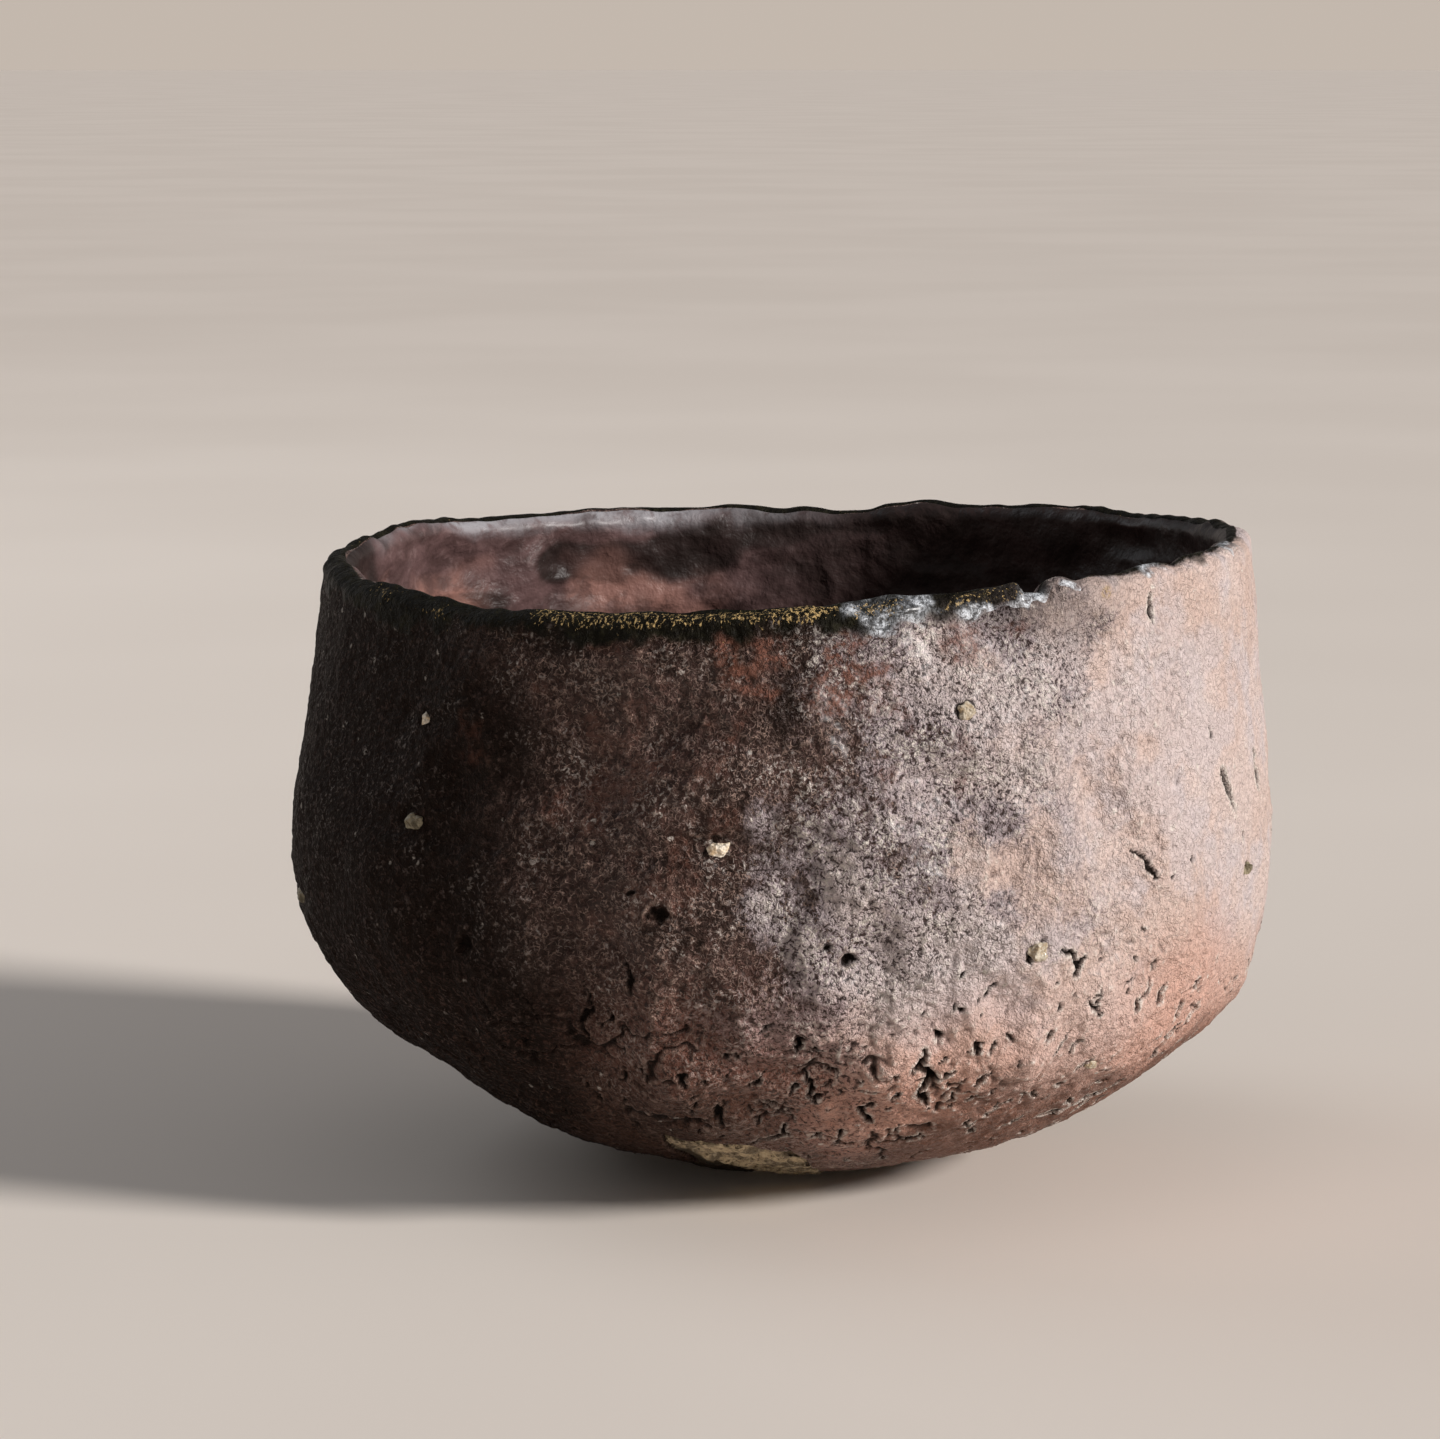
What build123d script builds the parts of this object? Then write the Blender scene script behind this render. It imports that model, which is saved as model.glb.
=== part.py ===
"""A hand-pinched tea bowl of coarse red-brown stoneware, let down onto a small foot of buff clay.

Millimetres, +Z up. The origin is on the foot's resting face, on the bowl's axis. An azimuth of 0
points along +X, and one of 270 points along -Y, which is the bowl's front.
"""

import os
from math import atan2, cos, degrees, floor, hypot, pi, radians, sin

from build123d import *

# Driving dimensions.
BELLY_RADIUS = 62.6
LIP_RADIUS = 58.6
LIP_HEIGHT = 78.0
WALL_AT_LIP = 4.2
FLOOR_HEIGHT = 9.5
SEAT_HEIGHT = 1.4
SEAT_RADIUS = 18.5

# The lip rises and falls as pinched clay does: its height every 30 degrees from azimuth 0.
LIP_HEIGHTS = (80.2, 79.4, 79.0, 77.2, 77.9, 78.3, 76.9, 76.4, 75.4, 76.9, 78.8, 79.7)
LIP_ROUNDING = 1.5

# The outside: height, radius, and how far the ring's centre lies from the axis along X.
OUTSIDE = (
    (SEAT_HEIGHT, SEAT_RADIUS, 2.6),
    (2.8, 25.0, 2.4),
    (5.0, 32.2, 2.4),
    (9.0, 40.8, 3.0),
    (14.0, 48.3, 3.0),
    (20.0, 55.0, 2.6),
    (27.0, 59.8, 1.0),
    (35.0, BELLY_RADIUS - 0.4, 0.3),
    (45.0, BELLY_RADIUS, 0.0),
    (56.0, 61.5, 0.2),
    (66.0, 60.3, 0.4),
    (77.0, LIP_RADIUS, 0.9),
    (86.0, LIP_RADIUS - 1.4, 1.2),
)
# The inside, from the tea pool in the floor to above the lip.
INSIDE = (
    (FLOOR_HEIGHT, 13.0, 1.5),
    (11.5, 25.5, 1.6),
    (15.5, 36.5, 1.8),
    (21.5, 45.5, 1.8),
    (29.5, 52.0, 1.0),
    (39.0, 55.9, 0.3),
    (50.0, 56.7, 0.1),
    (62.0, 55.7, 0.3),
    (77.0, LIP_RADIUS - WALL_AT_LIP, 0.9),
    (88.0, LIP_RADIUS - WALL_AT_LIP - 1.0, 1.3),
)

# Each ring is out of round by these shares of its radius: lobes, share, azimuth of one lobe.
LOBES = ((2, 0.007, 40.0), (3, 0.006, 30.0), (5, 0.003, 18.0))
RING_POINTS = 20

# The foot, a lump of buff clay pressed into the base. It leans to the front, where its edge
# breaks out of the brown clay. Height, radius, and the ring's centre.
FOOT = (
    (0.0, 12.5, (-3.5, -2.5)),
    (3.0, 17.3, (-3.3, -6.5)),
)
FOOT_ROUNDING = 0.5

# Glaze: its thickness, and how far it runs down both sides of the lip.
GLAZE = 0.4
GLAZE_ROLL = 7.0

# Feldspar stones in the clay, as azimuth, height and radius.
STONES = (
    (263.0, 49.4, 1.3),
    (225.0, 49.6, 1.5),
    (290.0, 64.6, 1.1),
    (225.0, 61.8, 1.0),
    (299.0, 35.6, 1.2),
    (312.0, 19.0, 0.9),
    (340.0, 40.0, 1.0),
    (18.0, 57.0, 1.4),
    (47.0, 33.0, 1.1),
    (83.0, 62.0, 1.2),
    (104.0, 44.0, 1.5),
    (138.0, 27.0, 1.2),
    (157.0, 58.0, 1.0),
    (196.0, 36.0, 1.3),
)
STONE_SUNK = 0.45  # share of a stone's radius that its middle lies below the surface
STONE_ROUNDING = 0.45  # share of a stone's radius that its edges are rounded by


def swell(azimuth):
    """How far a ring stands out of round at an azimuth, as a factor of its radius."""
    return 1 + sum(share * cos(radians(n * (azimuth - peak))) for n, share, peak in LOBES)


def ring(radius, lean):
    """The points of one closed ring, in its own plane."""
    points = []
    for step in range(RING_POINTS):
        azimuth = 360 * step / RING_POINTS
        reach = radius * swell(azimuth)
        points.append((lean + reach * cos(radians(azimuth)), reach * sin(radians(azimuth))))
    return points


def form(rings, grow=0.0):
    """A solid lofted through rings that all stand grow further out, from grow below the first."""
    with BuildPart() as made:
        for number, (height, radius, lean) in enumerate(rings):
            level = height - grow if number == 0 else height
            with BuildSketch(Plane.XY.offset(level)):
                with BuildLine():
                    Spline(ring(radius + grow, lean), periodic=True)
                make_face()
        loft()
    return made.part


def lip_height(azimuth):
    """The lip's height at an azimuth, eased between the stated heights."""
    count = len(LIP_HEIGHTS)
    place = (azimuth % 360) * count / 360
    before = floor(place)
    share = (1 - cos(pi * (place - before))) / 2
    return LIP_HEIGHTS[before % count] * (1 - share) + LIP_HEIGHTS[(before + 1) % count] * share


def lip_surface(raised):
    """The wavy surface that the lip lies in, moved up by raised."""
    half = 75.0
    count = 21
    rows = []
    for i in range(count):
        row = []
        for j in range(count):
            x = -half + 2 * half * i / (count - 1)
            y = -half + 2 * half * j / (count - 1)
            share = min(hypot(x, y) / LIP_RADIUS, 1.0) ** 2
            height = LIP_HEIGHT + share * (lip_height(degrees(atan2(y, x))) - LIP_HEIGHT)
            row.append((x, y, height + raised))
        rows.append(row)
    return Face.make_surface_from_array_of_points(rows)


def above_lip(raised):
    """Everything over the lip surface, as a cutter."""
    with BuildPart() as cutter:
        extrude(lip_surface(raised), amount=40, dir=(0, 0, 1))
    return cutter.part


def wall(grow):
    """The bowl's whole wall, with grow more on the outside, the lip and the inside."""
    with BuildPart() as made:
        add(form(OUTSIDE, grow))
        add(form(INSIDE, -grow), mode=Mode.SUBTRACT)
        add(above_lip(grow), mode=Mode.SUBTRACT)
        lip = made.faces().sort_by(Axis.Z)[-1]
        fillet(lip.edges(), LIP_ROUNDING + grow)
    return made.part


def stone(azimuth, height, radius):
    """One pebble, set square to the outside of the wall and rather more than half sunk in it."""
    outward = Vector(cos(radians(azimuth)), sin(radians(azimuth)), 0)
    hits = plain_wall.find_intersection_points(Axis((0, 0, height), outward))
    point, normal = max(hits, key=lambda hit: hit[0].dot(outward))
    middle = point - normal * radius * STONE_SUNK
    with BuildPart() as made:
        with Locations(Plane(middle, z_dir=normal)):
            Cylinder(radius, 2 * radius)
        fillet(made.edges().filter_by(GeomType.CIRCLE), radius * STONE_ROUNDING)
    return made.part


def save(made, name):
    made.label = name
    export_step(made, f"parts/{name}.step")


os.makedirs("parts", exist_ok=True)

plain_wall = wall(0.0)
stones = [stone(*place) for place in STONES]

with BuildPart() as feldspar_stones:
    add(stones)

with BuildPart() as foot_pad:
    for height, radius, centre in FOOT:
        with BuildSketch(Plane.XY.offset(height)):
            with Locations(centre):
                Circle(radius)
    loft()
    fillet(foot_pad.edges().group_by(Axis.Z)[0], FOOT_ROUNDING)

with BuildPart() as clay_body:
    add(plain_wall)
    add(foot_pad.part, mode=Mode.SUBTRACT)
    for one in stones:
        add(one, mode=Mode.SUBTRACT)

with BuildPart() as lip_glaze:
    add(wall(GLAZE))
    add(plain_wall, mode=Mode.SUBTRACT)
    add(above_lip(-GLAZE_ROLL), mode=Mode.INTERSECT)

with BuildPart() as inner_glaze:
    add(form(INSIDE))
    add(form(INSIDE, -GLAZE), mode=Mode.SUBTRACT)
    add(above_lip(-GLAZE_ROLL), mode=Mode.SUBTRACT)

save(clay_body.part, "clay_body")
save(foot_pad.part, "foot_pad")
save(lip_glaze.part, "lip_glaze")
save(inner_glaze.part, "inner_glaze")
save(feldspar_stones.part, "feldspar_stones")
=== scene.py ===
"""The looks of a hand-pinched tea bowl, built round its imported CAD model.

The clay, the two glazes and the foot are cut from one fine grid that follows the CAD wall: up the
outside from under the foot, over the lip, and down the inside to the middle of the floor. Finger
dents, pits, cracks and grain are laid on that grid as relief.

Lengths are in millimetres until a mesh is made. Azimuths are in degrees: 0 along +X, and 270 along
-Y, which is the front. A place on the wall is an azimuth with a height.
"""

from math import cos, pi, radians, sin

import bpy
import numpy as np
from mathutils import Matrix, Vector
from mathutils.bvhtree import BVHTree


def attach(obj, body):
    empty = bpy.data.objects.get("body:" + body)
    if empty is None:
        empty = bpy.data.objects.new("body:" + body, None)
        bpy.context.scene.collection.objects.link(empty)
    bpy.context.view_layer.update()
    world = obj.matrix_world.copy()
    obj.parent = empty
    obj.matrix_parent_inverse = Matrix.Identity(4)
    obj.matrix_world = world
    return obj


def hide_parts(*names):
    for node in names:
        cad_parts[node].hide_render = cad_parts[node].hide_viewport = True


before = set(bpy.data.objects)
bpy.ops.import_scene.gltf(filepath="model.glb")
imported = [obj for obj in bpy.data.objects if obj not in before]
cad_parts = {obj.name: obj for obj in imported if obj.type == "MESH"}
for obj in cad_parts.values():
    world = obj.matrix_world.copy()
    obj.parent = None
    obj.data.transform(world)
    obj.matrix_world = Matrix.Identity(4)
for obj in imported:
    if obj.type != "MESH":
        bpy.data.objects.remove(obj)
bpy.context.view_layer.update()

MM = 0.001
SPACING = 0.28  # between neighbouring points of the grid
BELLY_RADIUS = 62.5
COLUMNS = int(2 * pi * BELLY_RADIUS / SPACING / 8) * 8
COARSE = 96  # how many azimuths the CAD wall is read at
OUTER_ARC, LIP_ARC, INNER_ARC = 134, 6, 122  # about how long the grid's three stretches are
INNER_STEP = 1.5  # how much further apart the rows stand inside
BACK_STEP = 1.5  # between the rows of a surface that is never seen
LIP_ROUND = 2.0  # how far below its top the lip starts to round over

LATTICE_SIDE = 64
SEED_GAP = 11.37  # how far apart the noises of two seeds lie in the lattice
NOISE_GAIN = 1.5
random = np.random.RandomState(5)
LATTICE = random.uniform(-1, 1, (LATTICE_SIDE,) * 3).astype(np.float32)


# Noise and small helpers.


def smooth(low, high, value):
    """0 below low, 1 above high and an S curve between. low may be the larger."""
    share = np.clip((value - low) / (high - low), 0, 1)
    return share * share * (3 - 2 * share)


def noise(points, wavelength, seed=0, stretch=1.0):
    """Smooth noise from about -1 to 1 at points, drawn out by stretch along Z."""
    place = points / wavelength / np.array([1, 1, stretch]) + SEED_GAP * seed
    cell = np.floor(place).astype(np.int32)
    share = (place - cell).astype(np.float32)
    share = share * share * (3 - 2 * share)
    low = [cell[..., axis] % LATTICE_SIDE for axis in range(3)]
    high = [(cell[..., axis] + 1) % LATTICE_SIDE for axis in range(3)]
    total = 0
    for corner in range(8):
        up = [corner >> axis & 1 for axis in range(3)]
        index = tuple(high[axis] if up[axis] else low[axis] for axis in range(3))
        weight = 1
        for axis in range(3):
            weight = weight * (share[..., axis] if up[axis] else 1 - share[..., axis])
        total = total + weight * LATTICE[index]
    return total * NOISE_GAIN


def turned(azimuth, centre):
    """How far azimuth lies past centre, from -180 to 180 degrees."""
    return (azimuth - centre + 180) % 360 - 180


def toward(azimuth, elevation):
    """The unit vector at an azimuth and an elevation."""
    flat = cos(radians(elevation))
    return Vector((flat * cos(radians(azimuth)), flat * sin(radians(azimuth)), sin(radians(elevation))))


def azimuth_of(point):
    return np.degrees(np.arctan2(point[1], point[0]))


def column_at(azimuth):
    """The grid's column nearest to an azimuth."""
    return int(round(azimuth % 360 * COLUMNS / 360)) % COLUMNS


def placed(name, data):
    """An object of some data, put in the scene."""
    made = bpy.data.objects.new(name, data)
    bpy.context.scene.collection.objects.link(made)
    return made


# The wall, read from the CAD body.


def wall_tree():
    return BVHTree.FromObject(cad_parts["clay_body"], bpy.context.evaluated_depsgraph_get())


def distance(tree, start, along):
    """How far the wall is from start, both in millimetres."""
    hit = tree.ray_cast(Vector(start) * MM, Vector(along))
    return hit[3] / MM if hit[0] else float("nan")


def reach(tree, height, azimuth, elevation, outside):
    """(radius, height) where a ray from a point on the axis meets one side of the wall."""
    along = toward(azimuth, elevation)
    start = Vector((0, 0, height))
    if outside:
        far = 150
        length = far - distance(tree, start + along * far, -along)
    else:
        length = distance(tree, start, along)
    return length * cos(radians(elevation)), height + length * along.z


def read_profiles():
    """The CAD wall at coarse azimuths: (azimuth, point, (radius, height)) of each side, and the lip."""
    tree = wall_tree()
    hub = 30.0  # up to here the wall is read by a fan of rays, and above by level ones
    near_lip = 72
    overhead = 120
    elevations = np.linspace(-90, 0, 45)
    shares = np.linspace(0, 1, 30)[1:]
    outside, inside, lip = [], [], []
    for azimuth in np.arange(COARSE) * 360 / COARSE:
        walls = [[reach(tree, hub, azimuth, e, side) for e in elevations] for side in (True, False)]
        middle = sum(reach(tree, near_lip, azimuth, 0, side)[0] for side in (True, False)) / 2
        above = (middle * cos(radians(azimuth)), middle * sin(radians(azimuth)), overhead)
        top = overhead - distance(tree, above, (0, 0, -1))
        for share in shares:
            height = hub + share * (top - LIP_ROUND - hub)
            walls[0].append(reach(tree, height, azimuth, 0, True))
            walls[1].append(reach(tree, height, azimuth, 0, False))
        outside.append(walls[0])
        inside.append(walls[1])
        lip.append(top)
    return np.array(outside), np.array(inside), np.array(lip)


def around(values, harmonics=14):
    """Values at the coarse azimuths, smoothed and drawn out to every column."""
    spectrum = np.fft.rfft(values, axis=0)
    spectrum[harmonics:] = 0
    return np.fft.irfft(spectrum, COLUMNS, axis=0) * COLUMNS / len(values)


def resampled(profile, rows):
    """One column's (radius, height) points at even steps of arc."""
    steps = np.hypot(*np.diff(profile, axis=0).T)
    arc = np.concatenate([[0], np.cumsum(steps)])
    wanted = np.linspace(0, arc[-1], rows)
    return np.stack([np.interp(wanted, arc, profile[:, k]) for k in range(2)], axis=1)


def base_grid():
    """The bare wall as (row, column, (radius, height)), with the rows where the lip starts and ends."""
    outside, inside, lip = read_profiles()
    outside, inside, lip = around(outside), around(inside), around(lip)
    outer_rows = int(OUTER_ARC / SPACING)
    inner_rows = int(INNER_ARC / SPACING / INNER_STEP)
    lip_rows = int(LIP_ARC / SPACING)
    outer = np.stack([resampled(column, outer_rows + 1)[1:] for column in outside])
    inner = np.stack([resampled(column, inner_rows + 1)[:0:-1] for column in inside])
    turn = np.linspace(0, pi, lip_rows + 2)[1:-1]
    middle = (outer[:, -1] + inner[:, 0]) / 2
    half = (outer[:, -1, 0] - inner[:, 0, 0]) / 2
    rounded = np.stack([
        middle[:, None, 0] + half[:, None] * np.cos(turn),
        middle[:, None, 1] + (lip - middle[:, 1])[:, None] * np.sin(turn),
    ], axis=2)
    wall = np.concatenate([outer, rounded, inner], axis=1).transpose(1, 0, 2)
    return wall, outer_rows, outer_rows + lip_rows


def normals(points):
    """The unit normal at each point of a grid, away from the clay."""
    across = np.roll(points, -1, axis=1) - np.roll(points, 1, axis=1)
    along = np.gradient(points, axis=0)
    normal = np.cross(across, along)
    return normal / np.maximum(np.linalg.norm(normal, axis=2, keepdims=True), 1e-9)


WALL, OUTER_END, LIP_END = base_grid()
ROWS = len(WALL)
AZIMUTH = np.arange(COLUMNS) * 360 / COLUMNS
RADIUS, HEIGHT = WALL[..., 0], WALL[..., 1]
ACROSS = np.stack([np.cos(np.radians(AZIMUTH)), np.sin(np.radians(AZIMUTH))])
BARE = np.stack([RADIUS * ACROSS[0], RADIUS * ACROSS[1], HEIGHT], axis=2)
OUTWARD = normals(BARE)
STEPS = np.hypot(*np.diff(WALL, axis=0).transpose(2, 0, 1))
ARC = np.concatenate([np.zeros((1, COLUMNS)), np.cumsum(STEPS, axis=0)])
LIP_ROW = (OUTER_END + LIP_END) // 2
BELOW = ARC[LIP_ROW] - ARC  # how far below the lip's top, along the wall: negative inside
SIDE = np.arange(ROWS)[:, None] < LIP_ROW  # true outside

relief = np.zeros((ROWS, COLUMNS))  # along the outward normal
pitted = np.zeros((ROWS, COLUMNS))  # 1 in the bottom of a pit or crack


def away(centre):
    """How many degrees each column lies from an azimuth, on either side."""
    return np.abs(turned(AZIMUTH, centre))


def channels(red, green, blue):
    """Three shares over the grid as one mask."""
    return np.stack([red, green, blue], axis=2)


# Marks on the outside, each in its own flat chart: x to the right of its place and y up the wall.


def chart(azimuth, height, size):
    """The rows and columns within size of a place on the outside, and their chart."""
    column = column_at(azimuth)
    arc = np.interp(height, HEIGHT[:OUTER_END, column], ARC[:OUTER_END, column])
    row = int(np.searchsorted(ARC[:OUTER_END, column], arc))
    step = 2 * pi * RADIUS[row, column] / COLUMNS
    tall, wide = int(size / SPACING) + 2, int(size / step) + 2
    rows = np.arange(max(row - tall, 1), min(row + tall, LIP_ROW))
    columns = np.arange(column - wide, column + wide + 1)
    x = np.broadcast_to((columns - column) * step, (len(rows), len(columns)))
    here = np.ix_(rows, columns % COLUMNS)
    y = ARC[here] - arc
    wobble = BARE[here]
    x = x + 0.4 * noise(wobble, 1.4, 31) + 0.22 * noise(wobble, 0.6, 33)
    y = y + 0.4 * noise(wobble, 1.4, 32) + 0.22 * noise(wobble, 0.6, 34)
    return here, x, y


def pit(azimuth, height, long, wide, deep, tilt=90.0, burr=0.1):
    """An oval hole, long along tilt degrees from level, with a lip of torn clay on its left side."""
    here, x, y = chart(azimuth, height, 1.7 * max(long, wide))
    lean = radians(tilt)
    along, across = x * cos(lean) + y * sin(lean), y * cos(lean) - x * sin(lean)
    out = np.hypot(along / long, across / wide)
    hole = smooth(1.0, 0.45, out)
    torn = np.exp(-(((out - 1.25) / 0.3) ** 2)) * smooth(0.0, 0.7, across / wide)
    relief[here] += burr * torn - deep * hole
    pitted[here] = np.maximum(pitted[here], hole)


def crack(azimuth, height, points, wide, deep, burr=0.05):
    """A groove along points of the chart, tapered to its ends, with raised edges on both sides."""
    size = max(max(abs(x), abs(y)) for x, y in points) + 2.5
    half = 1.3 * wide
    here, x, y = chart(azimuth, height, size)
    points = np.array(points, float)
    lengths = np.hypot(*np.diff(points, axis=0).T)
    total, gone = lengths.sum(), 0.0
    nearest = np.full(x.shape, 1e9)
    for start, end, length in zip(points[:-1], points[1:], lengths):
        way = (end - start) / length
        along = np.clip((x - start[0]) * way[0] + (y - start[1]) * way[1], 0, length)
        gap = np.hypot(x - start[0] - along * way[0], y - start[1] - along * way[1])
        taper = np.sin(np.clip((gone + along) / total, 0.04, 0.96) * pi) ** 0.5
        nearest = np.minimum(nearest, gap / (half * taper))
        gone += length
    groove = smooth(1.1, 0.6, nearest)
    raised = np.exp(-(((nearest - 1.6) / 0.4) ** 2))
    relief[here] += burr * raised - deep * groove
    pitted[here] = np.maximum(pitted[here], smooth(1.2, 0.8, nearest))


def tear(azimuth, height, long, wide, deep, tilt):
    """A short jagged crack with a bent course."""
    lean = radians(tilt)
    way, off = np.array([cos(lean), sin(lean)]), np.array([-sin(lean), cos(lean)])
    bends = random.normal(0, 0.22, 4) * long
    points = [way * long * place + off * bend for place, bend in zip((-1, -0.3, 0.35, 1), bends)]
    crack(azimuth, height, points, wide, deep, 0.08)


def finger_dents():
    """The broad unevenness that fingers and a paddle leave on the outside, deepest at the front."""
    front = 0.3 + 1.9 * smooth(62, 30, away(274))
    broad = (0.5 * noise(BARE, 27, 1) + 0.5 * noise(BARE, 14, 2) - 0.45) * smooth(-4, 18, HEIGHT) - 0.1
    knocks = 0.5 * noise(BARE, 8.5, 64) - 0.5 * np.abs(noise(BARE, 9.5, 65)) + 0.12
    lower_left = smooth(62, 30, away(248)) * smooth(52, 34, HEIGHT) * smooth(9, 16, HEIGHT)
    drape = 0.6 * noise(BARE, 6, 3, stretch=1.9) * lower_left
    edge = smooth(15, 0, away(199)) * smooth(8, 22, HEIGHT) * smooth(74, 58, HEIGHT)
    return broad + knocks * front * smooth(8, 24, HEIGHT) + drape + edge


def warped(seed, amount=0.9):
    """The wall's points, jogged about so that what is laid on them has jagged edges."""
    fine = [noise(BARE, 1.9, seed + axis) + 0.4 * noise(BARE, 0.8, seed + 3 + axis) for axis in range(3)]
    return BARE + amount * np.stack(fine, axis=2)


def flakes(points, wavelength, seed):
    """Thin plates with a sharp scarp round each."""
    return smooth(-0.1, 0.06, noise(points, wavelength, seed)) - 0.5


def fissures(points, wavelength, seed, stretch, width):
    """1 along thin lines that wander and break off, about width millimetres to each side."""
    share = 2.6 * width / wavelength
    line = np.exp(-((noise(points, wavelength, seed, stretch) / share) ** 2))
    return line * smooth(0.05, 0.3, noise(BARE, 0.7 * wavelength, seed + 1, stretch))


def skin():
    """The lumps and grain of coarse clay, torn into flakes and fissures low down."""
    jagged = warped(90, 0.55)
    torn = smooth(36, 22, HEIGHT + 4 * noise(BARE, 15, 6))
    left = smooth(50, 30, away(250)) * smooth(48, 34, HEIGHT)
    lumps = 0.22 * noise(BARE, 4.6, 4) + 0.11 * noise(BARE, 2.5, 5)
    grain = 0.10 * noise(BARE, 1.3, 8) + 0.09 * noise(BARE, 0.8, 9)
    plates = 0.14 * flakes(jagged, 5.5, 100) + 0.11 * flakes(jagged, 3.0, 101)
    rough = 0.2 + 1.0 * torn + 0.5 * left
    cut = fissures(jagged, 6.5, 102, 0.8, 0.28) * torn
    cut = np.maximum(cut, fissures(jagged, 3.8, 104, 0.7, 0.22) * torn)
    cut = cut * smooth(-0.35, 0.3, noise(BARE, 9, 112))
    pitted[:] = np.maximum(pitted, 0.9 * smooth(0.35, 0.9, cut) * SIDE)
    veins = fissures(jagged, 5.0, 106, 2.6, 0.2) * left * smooth(0.0, 0.4, noise(BARE, 8, 88))
    edges = 0.08 * noise(jagged, 1.6, 108) * torn
    worn = np.maximum(smooth(42, 60, away(275)), smooth(15, 7, HEIGHT))
    fine = lumps + grain * (1.45 - 0.2 * torn) + plates * rough + edges
    return fine * (1 - 0.5 * worn) + 0.34 * veins - (0.6 - 0.2 * worn) * cut


def inside_relief():
    """Wavy finger ridges round the inside, and smeared layers of clay between them."""
    depth = -BELOW
    wander = 5 * noise(BARE, 34, 11) + 2.2 * noise(BARE, 12, 12)
    ridges = 0.15 * np.cos(2 * pi * (depth + wander) / 11.5) * smooth(2, 7, depth) * smooth(104, 80, depth)
    smeared = 0.5 - np.abs(noise(BARE, 15, 13, stretch=0.5))
    torn = 0.4 - np.abs(noise(BARE, 7, 66, stretch=0.65))
    lumps = 0.3 * noise(BARE, 8.5, 67) + 0.2 * noise(BARE, 3.4, 14) + 0.06 * noise(BARE, 1.5, 15)
    return ridges + 0.85 * smeared + 0.55 * torn + lumps


# Marks that stand out on the bowl. Holes: azimuth, height, long, wide, deep, tilt and burr.
HOLES = (
    (257.0, 41.6, 1.9, 1.3, 0.7, 60, 0.35),
    (253.5, 43.6, 0.9, 0.5, 0.4, 40),
    (277.3, 35.6, 1.5, 0.9, 0.9, 75, 0.35),
    (274.8, 37.6, 0.8, 0.5, 0.4, 110),
    (233.0, 36.0, 1.9, 1.0, 0.6, 70, 0.35),
    (315.5, 26.9, 1.3, 0.55, 0.8, 100),
    (320.5, 27.3, 1.0, 0.45, 0.7, 80),
    (331.0, 22.8, 1.7, 0.7, 1.0, 65),
    (327.0, 20.6, 1.2, 0.55, 0.8, 60),
    (325.5, 24.3, 1.6, 0.45, 0.7, 105),
    (309.0, 16.8, 0.9, 0.5, 0.7, 60),
    (306.0, 10.8, 1.2, 0.4, 0.6, 40),
    (302.5, 24.8, 1.2, 0.7, 0.9, 120),
    (297.0, 24.6, 0.8, 0.4, 0.5, 130),
    (288.5, 25.6, 0.9, 0.5, 0.6, 130),
    (283.0, 21.0, 0.9, 0.5, 0.6, 120),
    (287.0, 12.0, 1.4, 0.5, 0.7, 80),
    (272.0, 25.5, 1.0, 0.6, 0.6, 110),
    (276.5, 20.5, 1.1, 0.4, 0.5, 70),
    (266.5, 13.5, 1.2, 0.4, 0.5, 95),
    (258.5, 21.5, 1.6, 0.5, 0.6, 85),
    (249.0, 19.0, 0.9, 0.5, 0.5, 60),
    (352.0, 57.0, 0.8, 0.4, 0.4, 80),
    (338.0, 44.5, 0.6, 0.35, 0.5, 60),
    (331.0, 58.0, 0.9, 0.3, 0.4, 95),
    (324.0, 43.6, 0.7, 0.35, 0.5, 110),
    (319.0, 42.4, 0.5, 0.35, 0.4, 60),
    (306.0, 62.0, 0.6, 0.35, 0.4, 70),
)
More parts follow.
